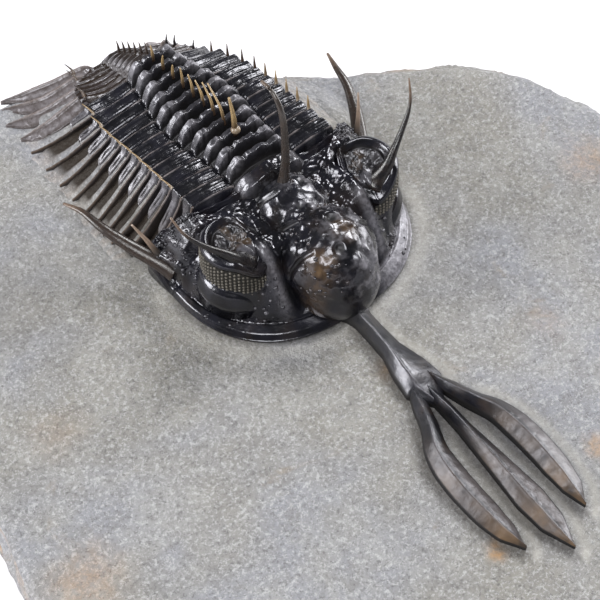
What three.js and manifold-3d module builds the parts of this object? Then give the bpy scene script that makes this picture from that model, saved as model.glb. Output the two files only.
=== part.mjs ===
// A three-tined spiny trilobite on its slab of limestone. Millimetres, Z up.
// The head points along -Y and the animal's left side lies along +X. Heights in the animal's own
// group are measured from the slab's upper face.
import * as THREE from 'three';
import { mergeVertices } from 'three/addons/utils/BufferGeometryUtils.js';
import Module from 'manifold-3d';

const wasm = await Module();
wasm.setup();

// Driving dimensions of the slab
const SLAB_WIDTH = 93;
const SLAB_LENGTH = 93;
const SLAB_THICK = 16;

// Driving dimensions of the animal
const LIFT = 0.3;              // clearance under every plate, over the rock
const SEGMENTS = 11;
const PITCH = 1.97;            // from one thoracic segment to the next
const PLATE_LENGTH = 1.65;     // of one segment, front to back
const FIRST_RIDGE_Y = 13.07;   // the pleural ridge of segment 1
const FULCRUM_X = 9.1;         // where the front pleurae bend down
const BLADE_TIP_X = 15.6;
const BURIED_TIP_X = 12.1;     // where the blades end on the animal's left, against a bank of rock
const HEAD_HALF_WIDTH = 14.1;
const HEAD_WIDEST_Y = 10.6;
const HEAD_FRONT_Y = -3.05;
const HEAD_BACK_Y = 12.5;
const TAIL_START_Y = 34.5;
const TAIL_END_Y = 42.6;

const COLOURS = {
  rock: { color: 0xa9a7a2, roughness: 0.9, metalness: 0 },
  shell: { color: 0x1c1b1d, roughness: 0.35, metalness: 0 },
};

// Small helpers

const mix = (a, b, t) => a + (b - a) * t;

const clamp = (t) => Math.min(1, Math.max(0, t));

function smooth(low, high, value) {
  const t = clamp((value - low) / (high - low));
  return t * t * (3 - 2 * t);
}

// Reads a value between evenly spaced stops
function along(stops, t) {
  const place = clamp(t) * (stops.length - 1);
  const index = Math.min(Math.floor(place), stops.length - 2);
  return mix(stops[index], stops[index + 1], place - index);
}

// 1 at centre, falling to 0 at half away
const bell = (value, centre, half) => smooth(0, 1, 1 - Math.abs(value - centre) / half);

// Moves every vertex of a geometry by a rule
function shaped(geometry, rule) {
  const position = geometry.attributes.position;
  const point = new THREE.Vector3();
  for (let i = 0; i < position.count; i += 1) {
    point.fromBufferAttribute(position, i);
    rule(point);
    position.setXYZ(i, point.x, point.y, point.z);
  }
  return geometry;
}

// Turns a closed geometry into a solid that can be joined and cut
function solid(geometry) {
  const bare = geometry.clone();
  bare.deleteAttribute('normal');
  bare.deleteAttribute('uv');
  const merged = mergeVertices(bare, 1e-4);
  return new wasm.Manifold(new wasm.Mesh({
    numProp: 3,
    vertProperties: new Float32Array(merged.attributes.position.array),
    triVerts: new Uint32Array(merged.index.array),
  }));
}

function joined(geometries) {
  const solids = geometries.map(solid);
  return solids.reduce((whole, next) => whole.add(next));
}

function toMesh(name, body, finish) {
  const cut = body.getMesh();
  const geometry = new THREE.BufferGeometry();
  const points = new THREE.BufferAttribute(new Float32Array(cut.vertProperties), 3);
  geometry.setAttribute('position', points);
  geometry.setIndex(new THREE.BufferAttribute(new Uint32Array(cut.triVerts), 1));
  geometry.computeVertexNormals();
  const mesh = new THREE.Mesh(geometry, new THREE.MeshStandardMaterial(finish));
  mesh.name = name;
  return mesh;
}

// A disc with closed rings, for bodies that are worked out from their middle to their edge:
// x and y come out as a point of the unit circle times the ring's radius, and z as its height.
function ringBody(profile, around) {
  const points = profile.map(([radius, height]) => new THREE.Vector2(radius, height));
  return new THREE.LatheGeometry(points, around).rotateX(Math.PI / 2);
}

// A tapering, bent spine: a lathe-turned thorn laid along a curve
function spine(points, radius, sides = 6, steps = 4) {
  const curve = new THREE.CatmullRomCurve3(points.map((p) => new THREE.Vector3(...p)));
  const profile = [[0, 0]];
  for (let i = 0; i < steps; i += 1) {
    const t = i / steps;
    profile.push([radius * mix(1, 0.16, t ** 0.8), t]);
  }
  profile.push([0, 1]);
  const start = curve.getTangent(0);
  const side = new THREE.Vector3(1, 0, 0).cross(start).normalize();
  return shaped(ringBody(profile, sides), (p) => {
    const t = clamp(p.z);
    const centre = curve.getPoint(t);
    const forward = curve.getTangent(t);
    const across = new THREE.Vector3().crossVectors(side, forward).normalize();
    const over = new THREE.Vector3().crossVectors(forward, across);
    p.copy(centre.addScaledVector(across, p.x).addScaledVector(over, p.y));
  });
}

// A bar with a keel along its middle and a flat underside: the fork's tines and the tail's ribs.
// The widths and the heights of keel and edge are stops along its length.
function keeledBar(points, widths, keels, edges, steps) {
  const curve = new THREE.CatmullRomCurve3(points.map(([x, y]) => new THREE.Vector3(x, y, 0)));
  return shaped(new THREE.BoxGeometry(2, 1, 1, 2, steps, 1), (p) => {
    const t = clamp(0.5 - p.y);
    const centre = curve.getPoint(t);
    const forward = curve.getTangent(t);
    const reach = along(widths, t) * p.x;
    const top = mix(along(keels, t), along(edges, t), Math.abs(p.x));
    p.set(centre.x - forward.y * reach, centre.y + forward.x * reach, p.z > 0 ? top : LIFT);
  });
}

// The slab: an irregular broken plate, flat underneath, its upper face falling off at the rim

const SLAB_OUTLINE = [
  [46.4, -15], [44, -4], [40.6, 1.5], [39.4, 8], [36.6, 13.6], [29.5, 20.1], [17.3, 27.3],
  [12.2, 31.6], [9.4, 35.6], [6.2, 38.6], [3.2, 42], [-2, 44.6], [-12, 46], [-24, 46.4],
  [-34, 39.5], [-40.5, 28], [-43.6, 14], [-44.2, 0], [-45.8, -9.7], [-46.4, -18], [-41, -31],
  [-30, -41], [-15, -45.6], [0, -46.5], [14, -46], [28, -42], [40, -31],
];

function slab() {
  const around = 44;
  const rim = new THREE.CatmullRomCurve3(
    SLAB_OUTLINE.map(([x, y]) => new THREE.Vector3(x, y, 0)), true, 'centripetal');
  const profile = [
    [0, 0], [0.93, 0], [0.985, 3.5], [0.965, 7.5], [1, 11.5], [0.99, 15.2],
    [0.965, SLAB_THICK], [0.8, SLAB_THICK], [0, SLAB_THICK],
  ];
  const body = shaped(ringBody(profile, around), (p) => {
    const angle = Math.atan2(p.y, p.x);
    const radius = Math.hypot(p.x, p.y);
    const turn = (angle / (2 * Math.PI) + 1) % 1;
    const edge = rim.getPoint(turn);
    const broken = Math.sin(angle * 11 + p.z) + Math.sin(angle * 23 - p.z * 2);
    const onSide = p.z > 1 && p.z < SLAB_THICK - 0.1 && radius > 0.9;
    const reach = radius + (onSide ? 0.007 * broken : 0);
    p.x = edge.x * reach;
    p.y = edge.y * reach;
  });
  body.computeBoundingBox();
  const { min, max } = body.boundingBox;
  body.translate(-(min.x + max.x) / 2, -(min.y + max.y) / 2, 0);
  body.scale(SLAB_WIDTH / (max.x - min.x), SLAB_LENGTH / (max.y - min.y), 1);
  return solid(body);
}

// The bank of rock left standing against the animal's left side
const BANK = { innerX: 12.6, outerX: 17.6, startY: 16.5, endY: 28.5, height: 3 };

function bank() {
  const { innerX, outerX, startY, endY, height } = BANK;
  const crests = [1, 0.85, 0.45, 0];
  return solid(shaped(new THREE.BoxGeometry(3, 1, 1, 3, 8, 1), (p) => {
    const t = p.y + 0.5;
    const step = Math.round(p.x + 1.5);
    const edge = mix(outerX, innerX + 0.8, smooth(0.55, 1, t));
    const crown = height * mix(0.25, 1, Math.sin(Math.PI * t) ** 0.6) * crests[step];
    const top = SLAB_THICK + crown + (step === 3 ? -0.4 : 0);
    p.set(mix(innerX, edge, step / 3), mix(startY, endY, t), p.z > 0 ? top : SLAB_THICK - 1);
  }));
}

// The body's arch, shared by the thorax and what joins it

const ridgeY = (k) => FIRST_RIDGE_Y + PITCH * (k - 1);

const axisTop = (k) => 11.2 - 0.27 * (k - 1);

const axisHalf = (k) => 3.8 + 0.95 * bell(k, 6.3, 4.2) - 0.2 * Math.max(0, k - 8);

// The bend of pleura k. Towards the tail it draws in, drops and swings back, and the tail end
// lies a little turned: further back and higher on the animal's right side (hand -1).
const fulcrumX = (k) => FULCRUM_X - 0.12 * Math.max(0, k - 8) ** 2;

const fulcrumY = (k, hand) => (
  ridgeY(k) + 0.09 * Math.max(0, k - 7) ** 2 - hand * 0.1 * Math.max(0, k - 9.5) ** 2);

const fulcrumZ = (k, hand) => (
  9.3 - 0.4 * (k - 1) - 0.075 * Math.max(0, k - 6) ** 2 - hand * 0.08 * Math.max(0, k - 9.5) ** 2);

// Where blade k ends: the first three are short, because the cheek spines lie beside them
function bladeTipX(k, hand) {
  const reach = BLADE_TIP_X - 4 * Math.max(0, 1 - (k - 1) / 3.2) ** 1.3;
  const buried = Math.max(fulcrumX(k) + 0.6, BURIED_TIP_X - 0.6 * Math.max(0, k - 5));
  return hand > 0 ? Math.min(reach, buried) : reach;
}

// Where the crest of pleura k runs, at the distance x from the body's middle line
function crestY(k, x, hand) {
  const half = axisHalf(k);
  const bend = fulcrumX(k);
  const root = fulcrumY(k, hand);
  if (x < bend) {
    return mix(ridgeY(k), root, clamp((x - half) / (bend - half)) ** 2);
  }
  const out = clamp((x - bend) / (BLADE_TIP_X - bend));
  const end = ridgeY(k) + 0.2 + 3 * ((k - 6.3) / 4.7) ** 2;
  return mix(root, Math.max(end, root), out ** 2) + 0.3 * clamp((x - bend) / 2.5);
}

function archHeight(k, x, hand, tip) {
  const half = axisHalf(k);
  const bend = fulcrumX(k);
  const side = fulcrumZ(k, hand);
  const furrow = axisTop(k) - 2.3;
  if (x < half) {
    return furrow + 2.3 * (1 - (x / half) ** 2.6) ** 0.5;
  }
  if (x < bend) {
    const t = (x - half) / (bend - half);
    return mix(furrow, side, t) + 0.25 * Math.sin(Math.PI * t);
  }
  const u = clamp((x - bend) / (tip - bend));
  return 0.9 + (side - 0.9) * (1 - u) ** 1.2;
}

// Widths across half a segment where the surface turns: axis, furrow, pleura, bend, blade
function stations(k, tip) {
  const half = axisHalf(k);
  const blade = [0.2, 0.38, 0.5, 0.75, 1].map((t) => mix(fulcrumX(k), tip, t));
  return [0, 0.45 * half, 0.8 * half, half, mix(half, fulcrumX(k), 0.4), fulcrumX(k), ...blade];
}

function plate(k) {
  const steps = stations(k, BLADE_TIP_X).length - 1;
  return shaped(new THREE.BoxGeometry(2 * steps, 1, 1, 2 * steps, 2, 1), (p) => {
    const hand = p.x < 0 ? -1 : 1;
    const tip = bladeTipX(k, hand);
    const x = stations(k, tip)[Math.round(Math.abs(p.x))];
    const u = clamp((x - fulcrumX(k)) / (tip - fulcrumX(k)));
    const length = PLATE_LENGTH * mix(1, 0.16, smooth(0.3, 0.55, u) * 0.6 + 0.4 * u);
    const front = crestY(k, x, hand) - 0.22;
    const row = Math.round(p.y * 2) + 1;
    const onAxis = x < axisHalf(k);
    const crest = onAxis ? 0.5 : 0.28;
    const drop = [0.35, 0, onAxis ? 0.35 : 0.3][row] * (1 - 0.6 * u);
    const y = front + length * [0, crest, 1][row];
    p.set(hand * x, y, p.z > 0 ? archHeight(k, x, hand, tip) - drop : LIFT);
  });
}

// Where the spine on the middle of segment k ends: how far behind its foot, and how high
const axialTip = (k) => (k === 3 ? [0.9, 14.96] : [
  along([2.9, 2, 1.4, 0.8, 0.3, -0.1, -0.2, 0.3], (k - 4) / 7),
  along([13.7, 12.9, 12, 11.7, 11.4, 10.5, 10.4, 9.9], (k - 4) / 7)]);

function segment(k) {
  const parts = [plate(k)];
  if (k > 2) {
    for (const hand of [-1, 1]) {
      const x = fulcrumX(k);
      const y = fulcrumY(k, hand);
      const side = fulcrumZ(k, hand);
      const [back, rise] = hand < 0 ? [2, 0.5] : [0.9, 1.3];
      parts.push(spine([
        [hand * x, y - 0.1, side - 0.6], [hand * (x + 0.1), y + 0.3 * back, side + 0.5 * rise],
        [hand * (x + 0.4), y + back, side + rise]], 0.28, 5, 3));
    }
    const foot = ridgeY(k) + 0.95;
    const [lean, height] = axialTip(k);
    const top = axisTop(k);
    parts.push(spine(
      [[0, foot, top - 0.8], [0, foot + 0.25 * lean, mix(top, height, 0.45)],
        [0, foot + lean, height]],
      k === 3 ? 0.45 : 0.28, 5, 3));
  }
  return joined(parts);
}

// The head shield

const HEAD_MIDDLE_Y = 6;

// Half of the head's rear margin, from the cheek's corner to the occipital ring
const HEAD_REAR = [[14.4, 13.4], [14.2, 15], [12.9, 15], [11.7, 13.6], [10.4, 12.7],
  [8.6, HEAD_BACK_Y], [5.5, 12.2], [3.2, HEAD_BACK_Y]];

function headOutline() {
  const front = [];
  const depth = HEAD_WIDEST_Y - HEAD_FRONT_Y;
  const steps = 24;
  for (let i = 0; i <= steps; i += 1) {
    const angle = (Math.PI * i) / steps;
    const c = Math.cos(angle);
    const x = HEAD_HALF_WIDTH * Math.sign(c) * Math.abs(c) ** 0.84;
    front.push([-x, HEAD_WIDEST_Y - depth * Math.sin(angle) ** 0.84]);
  }
  const left = HEAD_REAR.map(([x, y]) => [-x, y]).reverse();
  return [...front, ...HEAD_REAR, [0, HEAD_BACK_Y], ...left];
}

// Height of the shield where it is the fraction r out from its middle to its margin
function headHeight(x, y, r) {
  const a = Math.abs(x);
  const border = 0.8 + 1.1 * smooth(1, 0.94, r);
  const cheek = mix(8.3, 1.7, smooth(0.5, 0.88, r));
  const front = r > 0.86 ? border : cheek;
  const rear = a < FULCRUM_X ? 9 : 9 - 6.2 * clamp((a - FULCRUM_X) / 5) ** 0.9;
  return mix(front, rear, smooth(8.6, 12.3, y));
}

function shield() {
  const outline = headOutline();
  const profile = [[0, 0], [1, 0], [1, 1], [0.94, 1], [0.86, 1], [0.8, 1], [0.68, 1],
    [0.5, 1], [0.25, 1], [0, 1]];
  return shaped(ringBody(profile, outline.length), (p) => {
    const r = Math.hypot(p.x, p.y);
    const turn = Math.atan2(p.y, p.x) / (2 * Math.PI) + 1.5;
    const [x, y] = outline[Math.round(turn * outline.length) % outline.length];
    p.x = x * r;
    p.y = mix(HEAD_MIDDLE_Y, y, r);
    p.z = p.z > 0.5 ? headHeight(p.x, p.y, r) : LIFT;
  });
}

function ball(x, y, z, rx, ry, rz) {
  const round = new THREE.SphereGeometry(1, 14, 9).rotateX(Math.PI / 2);
  return round.scale(rx, ry, rz).translate(x, y, z);
}

function eye(hand) {
  const profile = [[0, 2.5], [4.2, 2.5], [3.65, 5.5], [3.7, 8.7], [3.2, 9.7], [1.6, 10.1], [0, 10.1]];
  return ringBody(profile, 16).translate(hand * 8.25, 6.5, 0);
}

// The fork: a handle that widens to a palm, and three leaf-shaped tines with keels
function fork() {
  const handle = keeledBar(
    [[0, 1], [0, -5], [0, -11], [0, -17.2]],
    [1.3, 1.15, 1.05, 1.05, 1.15, 2.1, 2.3], [2.6, 2.4, 2.3, 2.1], [1.2, 1.1, 1, 1], 8);
  const middle = keeledBar(
    [[0, -14.6], [0, -22], [0, -30], [0, -37.8]],
    [0.7, 0.65, 0.7, 1, 1.3, 1.6, 1.35, 0.08], [2.1, 1.9, 1.6, 0.9], [1, 0.9, 0.8, 0.6], 10);
  const outer = (hand) => keeledBar(
    [[1.1, -13.6], [2.6, -18.4], [4.1, -21.8], [4.6, -26], [4.45, -31], [3.9, -35]]
      .map(([x, y]) => [hand * x, y]),
    [0.6, 0.75, 0.95, 1.2, 1.45, 1.5, 1.45, 1.1, 0.08], [2.1, 2, 1.9, 1.6, 1], [1, 0.9, 0.7], 11);
  return [handle, middle, outer(-1), outer(1)];
}

function cephalon() {
  const parts = [
    shield(),
    ball(0, 2, 5.8, 5.4, 5.9, 5.4),
    ball(0, 7.6, 6.5, 4.2, 4.6, 4.6),
    ball(0, 10.9, 8.2, 4, 1.55, 2.7),
    spine([[0, 9.6, 9], [0, 8.9, 14.5], [0, 9.3, 20], [0, 10.9, 22.9], [0, 13, 23]], 0.65, 7, 7),
    ...fork(),
  ];
  for (const hand of [-1, 1]) {
    const mirrored = (points) => points.map(([x, y, z]) => [hand * x, y, z]);
    parts.push(eye(hand));
    parts.push(spine(mirrored(
      [[8.9, 4.1, 9], [11.3, 5, 11.8], [13.3, 5.7, 14.2], [14.5, 6.6, 16], [15.1, 7.7, 17.8]]),
    0.9, 7, 6));
    parts.push(spine(mirrored(
      [[13.3, 12.2, 2.7], [14.7, 15.2, 4], [16.3, 19, 4.9], [17.3, 22.5, 5.2], [18.3, 26, 5.2]]),
    1.25, 7, 6));
    parts.push(spine(mirrored([[13.2, 13.6, 3.2], [14.2, 14.6, 6], [15.1, 15.8, 8.2]]), 0.6, 6, 4));
  }
  return joined(parts);
}

// The tail shield: a body that tapers back and five pairs of ribs that end in rim spines

// The tail's ribs on the animal's right: root, bend and tip, and the height of the root
const TAIL_RIBS = [
  { root: [7.9, 37.7], bend: [12.2, 37.7], tip: [15.3, 39.0], top: 2.9 },
  { root: [7.3, 39.3], bend: [11.8, 39.8], tip: [15.6, 41.8], top: 2.5 },
  { root: [6.4, 41], bend: [10.8, 41.5], tip: [14.7, 44.1], top: 2.3 },
  { root: [4.6, 42.3], bend: [9.4, 43.3], tip: [14.2, 45.2], top: 1.8 },
];

// On the animal's left the ribs are broken off short
const TAIL_STUB = 0.25;

function tailHeight(x, y, hand) {
  const back = clamp((y - TAIL_START_Y) / (TAIL_END_Y - TAIL_START_Y));
  const axis = mix(3, 1.7, back);
  const crown = mix(8.2, 1.6, back);
  const side = mix(3.2, 0.9, back) - hand * 0.7;
  const out = clamp((x - axis) / (8 - axis));
  const field = Math.max(LIFT + 0.4, mix(crown - 2.2 * (1 - 0.6 * back), side, out));
  return x < axis ? field + 2.2 * (1 - (x / axis) ** 2.4) ** 0.5 * (1 - 0.6 * back) : field;
}

// The tail's margin and its front edge, which follows the last segment
const tailHalf = (t) => 7.9 * Math.sqrt(1 - (0.97 * t) ** 2);

function tailY(x, t, hand) {
  const front = crestY(SEGMENTS + 1, Math.min(x, 8), hand) - 0.15;
  return Math.max(front, mix(front, TAIL_END_Y + (hand < 0 ? 0.06 * x : -0.25 * x), t));
}

function pygidium() {
  const steps = 8;
  const trunk = shaped(new THREE.BoxGeometry(10, 1, 1, 10, steps, 1), (p) => {
    const t = p.y + 0.5;
    const hand = p.x < 0 ? -1 : 1;
    const x = tailHalf(t) * Math.abs(p.x / 5);
    const y = tailY(x, t, hand);
    p.set(x * hand, y, p.z > 0 ? tailHeight(x, y, hand) : LIFT);
  });
  const parts = [trunk];
  for (const hand of [-1, 1]) {
    for (const { root, bend, tip, top } of TAIL_RIBS) {
      const inner = [root[0] * 0.7, root[1] - 0.3];
      const reach = hand > 0 ? TAIL_STUB : 1;
      const shift = hand > 0 ? -1.6 : 0;
      const outer = [bend, tip].map(([x, y]) => [
        mix(root[0], x, reach), mix(root[1], y, reach)]);
      const line = [inner, root, ...outer].map(([x, y]) => [hand * x * (hand > 0 ? 0.85 : 1), y + shift]);
      parts.push(keeledBar(
        line, [0.6, 0.62, 0.6, 0.35, 0.08], [top + 0.3, top, top * 0.6, 0.8],
        [top, top - 0.4, top * 0.35, 0.6], 5));
    }
    for (let k = SEGMENTS + 1; k < SEGMENTS + 4; k += 1) {
      const x = fulcrumX(k) * (k > 13 ? 1.15 : 1);
      const y = Math.min(crestY(k, x, hand), hand < 0 ? 42.6 : 39.5);
      const z = tailHeight(x, y, hand);
      const [back, rise] = hand < 0 ? [1.6, 0.6] : [0.5, 1.2];
      parts.push(spine([[hand * x, y - 0.1, z - 0.5], [hand * x, y + 0.3 * back, z + 0.5 * rise],
        [hand * (x + 0.3), y + back, z + rise]], 0.28, 5, 3));
    }
  }
  for (let ring = 0; ring < 6; ring += 1) {
    const y = mix(TAIL_START_Y + 0.4, TAIL_END_Y, ring / 6);
    const crown = tailHeight(0, y, 1);
    parts.push(spine([[0, y, crown - 0.8], [0, y + 0.1, crown + 0.8], [0, y + 0.3, crown + 1.6]],
      0.3, 5, 3));
  }
  return joined(parts);
}

// The whole fossil

const fossil = new THREE.Group();
fossil.add(toMesh('matrix', slab().add(bank()), COLOURS.rock));

const animal = new THREE.Group();
animal.position.z = SLAB_THICK;
animal.add(toMesh('cephalon', cephalon(), COLOURS.shell));
for (let k = 1; k <= SEGMENTS; k += 1) {
  const number = String(k).padStart(2, '0');
  animal.add(toMesh(`thorax_segment_${number}`, segment(k), COLOURS.shell));
}
animal.add(toMesh('pygidium', pygidium(), COLOURS.shell));
fossil.add(animal);

export default fossil;
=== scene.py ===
"""The looks of a spiny trilobite with a three-tined fork, on its slab of limestone.

Forms are worked out in millimetres: the head points along -Y, the animal's left side is +X, and
heights are counted from the slab's upper face. finished() turns a form into metres in the frame.
"""

import math
import random

import bmesh
import bpy
from mathutils import Matrix, Vector, noise


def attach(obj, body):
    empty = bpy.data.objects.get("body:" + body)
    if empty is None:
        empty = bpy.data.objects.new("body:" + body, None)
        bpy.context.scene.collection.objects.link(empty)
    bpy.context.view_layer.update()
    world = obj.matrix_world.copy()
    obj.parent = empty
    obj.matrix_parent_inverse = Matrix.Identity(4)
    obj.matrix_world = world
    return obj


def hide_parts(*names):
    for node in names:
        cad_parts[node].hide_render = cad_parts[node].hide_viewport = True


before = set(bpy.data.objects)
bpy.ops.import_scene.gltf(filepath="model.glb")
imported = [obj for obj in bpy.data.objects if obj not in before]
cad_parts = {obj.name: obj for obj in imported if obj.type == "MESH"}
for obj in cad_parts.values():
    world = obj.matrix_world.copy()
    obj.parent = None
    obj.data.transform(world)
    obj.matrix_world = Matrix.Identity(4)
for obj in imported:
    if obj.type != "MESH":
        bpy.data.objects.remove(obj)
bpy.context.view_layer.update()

MM = 0.001
DECK = 16.0                # height of the slab's upper face
LIFT = 0.3                 # clearance under the solid plates

SEGMENTS = 11
PITCH = 1.97
FIRST_RIDGE_Y = 13.07
FULCRUM_X = 9.1            # where the front pleurae bend down
BLADE_TIP_X = 15.6
BURIED_TIP_X = 12.1
LOBE_LENGTH = 2.7          # of the pale lobe outside the bend
RING_RISE = 2.4            # of an axial ring over the furrow beside it

HEAD_HALF_WIDTH = 14.1
HEAD_WIDEST_Y = 10.6
HEAD_FRONT_Y = -3.05
HEAD_BACK_Y = 12.5
HEAD_MIDDLE_Y = 6.0
HEAD_FRONT_TURN = 0.62     # the share of a turn round the margin that lies in front
GLABELLA_CENTRE = Vector((0, 4.4, 6.2))
RIGHT_CHEEK_OF_NOSE = Vector((-3.5, -1.4, 8.1))
EYE_X = 8.25
EYE_Y = 6.5
EYE_RADIUS = 3.7

TAIL_START_Y = 34.5
TAIL_END_Y = 42.6
TAIL_RING_RISE = 2.2


# Small maths

def mix(a, b, t):
    return a + (b - a) * t


def clamp(t, low=0.0, high=1.0):
    return min(high, max(low, t))


def smooth(low, high, value):
    t = clamp((value - low) / (high - low))
    return t * t * (3 - 2 * t)


def bell(value, centre, half):
    """1 at centre, falling to 0 at half away."""
    t = clamp(1 - abs(value - centre) / half)
    return t * t * (3 - 2 * t)


def along(stops, t):
    place = clamp(t) * (len(stops) - 1)
    index = min(int(place), len(stops) - 2)
    return mix(stops[index], stops[index + 1], place - index)


def rough(x, y, z, size, octaves=3):
    """Fractal noise, about -1 to 1, whose largest lumps are size millimetres."""
    return noise.fractal(Vector((x, y, z)) / size, 0.7, 2.1, octaves)


def curve_point(points, t):
    """A point of the smooth line through points, for t from 0 to 1."""
    spans = len(points) - 1
    place = clamp(t) * spans
    i = min(int(place), spans - 1)
    s = place - i
    p1, p2 = Vector(points[i]), Vector(points[i + 1])
    p0 = Vector(points[i - 1]) if i > 0 else p1 * 2 - p2
    p3 = Vector(points[i + 2]) if i + 2 <= spans else p2 * 2 - p1
    return 0.5 * (2 * p1 + (p2 - p0) * s + (2 * p0 - 5 * p1 + 4 * p2 - p3) * s * s
                  + (3 * p1 - p0 - 3 * p2 + p3) * s ** 3)


def curve_direction(points, t):
    return (curve_point(points, t + 0.01) - curve_point(points, t - 0.01)).normalized()


# Shader maths

class Socket:
    """A shader value that Python's operators work on by adding Math nodes."""

    def __init__(self, paint, link):
        self.paint = paint
        self.link = link

    def math(self, operation, *values):
        return self.paint.node("Math", {"operation": operation}, list(values))["Value"]

    def __add__(self, other):
        return self.math("ADD", self, other)

    def __sub__(self, other):
        return self.math("SUBTRACT", self, other)

    def __rsub__(self, other):
        return self.math("SUBTRACT", other, self)

    def __mul__(self, other):
        return self.math("MULTIPLY", self, other)

    __radd__ = __add__
    __rmul__ = __mul__

    def between(self, low, high):
        """0 below low, 1 above high, smooth between."""
        found = self.paint.node("MapRange", {"interpolation_type": "SMOOTHSTEP"},
                                {"Value": self, "From Min": low, "From Max": high})
        return found["Result"]


class Paint:
    """One material's node tree, with a node() that takes a type, its settings and its values."""

    def __init__(self, name):
        self.material = bpy.data.materials.new(name)
        self.material.use_nodes = True
        self.tree = self.material.node_tree
        self.shader = self.tree.nodes["Principled BSDF"]

    def node(self, kind, settings=None, values=None):
        made = self.tree.nodes.new("ShaderNode" + kind)
        for key, value in (settings or {}).items():
            setattr(made, key, value)
        pairs = enumerate(values) if isinstance(values, list) else (values or {}).items()
        for key, value in pairs:
            self.feed(made.inputs[key], value)
        return {s.name: Socket(self, s) for s in made.outputs if s.enabled}

    def feed(self, target, value):
        if isinstance(value, Socket):
            self.tree.links.new(value.link, target)
        else:
            target.default_value = value

    def place(self):
        return self.node("TexCoord")["Object"]

    def noise(self, size, detail=4.0, roughness=0.55, distortion=0.0):
        """Noise whose lumps are about size millimetres."""
        found = self.node("TexNoise", {}, {
            "Vector": self.place(), "Scale": 1 / (size * MM), "Detail": detail,
            "Roughness": roughness, "Distortion": distortion})
        return found["Fac"]

    def tone(self):
        """The piece's marks at each point: how pale (often a painted highlight), how tan, and how
        deep in painted shade.
        """
        colour = self.node("Attribute", {"attribute_name": "tone"})["Color"]
        parts = self.node("SeparateColor", {}, {"Color": colour})
        return parts["Red"], parts["Green"], parts["Blue"]

    def blend(self, fac, first, second):
        """The colour first, turned into second by fac; a Mix node's colours are sockets 6 and 7."""
        first, second = (c if isinstance(c, Socket) else (*c, 1) for c in (first, second))
        return self.node("Mix", {"data_type": "RGBA"}, {0: fac, 6: first, 7: second})["Result"]

    def bump(self, height, distance, strength):
        values = {"Height": height, "Distance": distance * MM, "Strength": strength}
        return self.node("Bump", {}, values)["Normal"]

    def finish(self, colour, roughness, normal, **fixed):
        self.feed(self.shader.inputs["Base Color"], colour)
        self.feed(self.shader.inputs["Roughness"], roughness)
        self.feed(self.shader.inputs["Normal"], normal)
        for name, value in fixed.items():
            self.shader.inputs[name.replace("_", " ")].default_value = value
        return self.material


def limestone():
    """Grey stone, mottled with pale crystals, bluish patches and ochre stains."""
    paint = Paint("limestone")
    broad = paint.noise(20, 3).between(0.38, 0.62)
    colour = paint.blend(broad, (0.255, 0.245, 0.222), (0.27, 0.275, 0.298))
    cloud = paint.noise(6.5, 4, 0.6, 0.5).between(0.42, 0.66)
    colour = paint.blend(cloud * 0.6, colour, (0.335, 0.33, 0.315))
    mottle = paint.noise(2.2, 6, 0.75).between(0.46, 0.62)
    colour = paint.blend(mottle * 0.5, colour, (0.19, 0.185, 0.18))
    grain = paint.noise(0.5, 5, 0.9).between(0.5, 0.6)
    colour = paint.blend(grain * 0.6, colour, (0.56, 0.56, 0.57))
    dark = paint.noise(0.45, 5, 0.9).between(0.52, 0.62)
    colour = paint.blend(dark * 0.65, colour, (0.08, 0.078, 0.08))
    stain = paint.noise(9, 5, 0.7, 0.6).between(0.58, 0.75)
    colour = paint.blend(stain * 0.45, colour, (0.3, 0.235, 0.16))
    pale, tan, shade = paint.tone()
    flaky = paint.noise(1.0, 5, 0.75).between(0.38, 0.6)
    colour = paint.blend(pale * 0.6, colour, (0.5, 0.48, 0.44))
    colour = paint.blend(tan * (flaky * 0.7 + 0.3), colour, (0.42, 0.24, 0.1))
    colour = paint.blend(shade, colour, (0.022, 0.015, 0.01))
    height = paint.noise(0.55, 5, 0.75) + paint.noise(2.4, 4, 0.6) * 1.6
    normal = paint.bump(height, 0.22, 0.9)
    roughness = paint.noise(1.5, 3) * 0.3 + 0.42
    return paint.finish(colour, roughness, normal, Specular_IOR_Level=0.4)


def black_shell(name, brown=0.0, gloss=0.2, wet=0.5):
    """Glossy blue-black shell, brown where it is thin; pale marks are partly paler shell and partly
    painted sheen and highlights, deep marks painted shade.
    """
    paint = Paint(name)
    cloud = paint.noise(2.6, 4, 0.6).between(0.35, 0.7)
    colour = paint.blend(cloud, (0.0025, 0.0025, 0.0035), (0.009, 0.009, 0.014))
    warm = paint.noise(3.4, 3, 0.6, 0.4).between(0.45, 0.68)
    colour = paint.blend(warm * brown, colour, (0.06, 0.038, 0.022))
    pale, tan, deep = paint.tone()
    wear_and_sheen = paint.noise(0.5, 4, 0.7).between(0.3, 0.7)
    # Pale marks: painted sheen and highlights on ridges and lobes, partly real paler shell, broken
    # into patches by noise.
    colour = paint.blend(pale * (wear_and_sheen * 0.7 + 0.3), colour, (0.3, 0.29, 0.32))
    colour = paint.blend(tan, colour, (0.2, 0.125, 0.065))
    # Deep marks: painted shade in gaps, furrows, pits and on shaded walls, where the shell is also
    # rougher.
    colour = paint.blend(deep, colour, (0.005, 0.004, 0.003))
    height = paint.noise(1.3, 3, 0.6) * 1.6 + paint.noise(0.5, 3, 0.7) * 0.5
    normal = paint.bump(height, 0.12, wet)
    roughness = paint.noise(1.2, 3, 0.6) * 0.2 + (gloss - 0.06) + pale * 0.1 + deep * 0.3
    return paint.finish(colour, roughness, normal, Specular_IOR_Level=0.75,
                        Specular_Tint=(0.93, 0.93, 1.0, 1))


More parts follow.
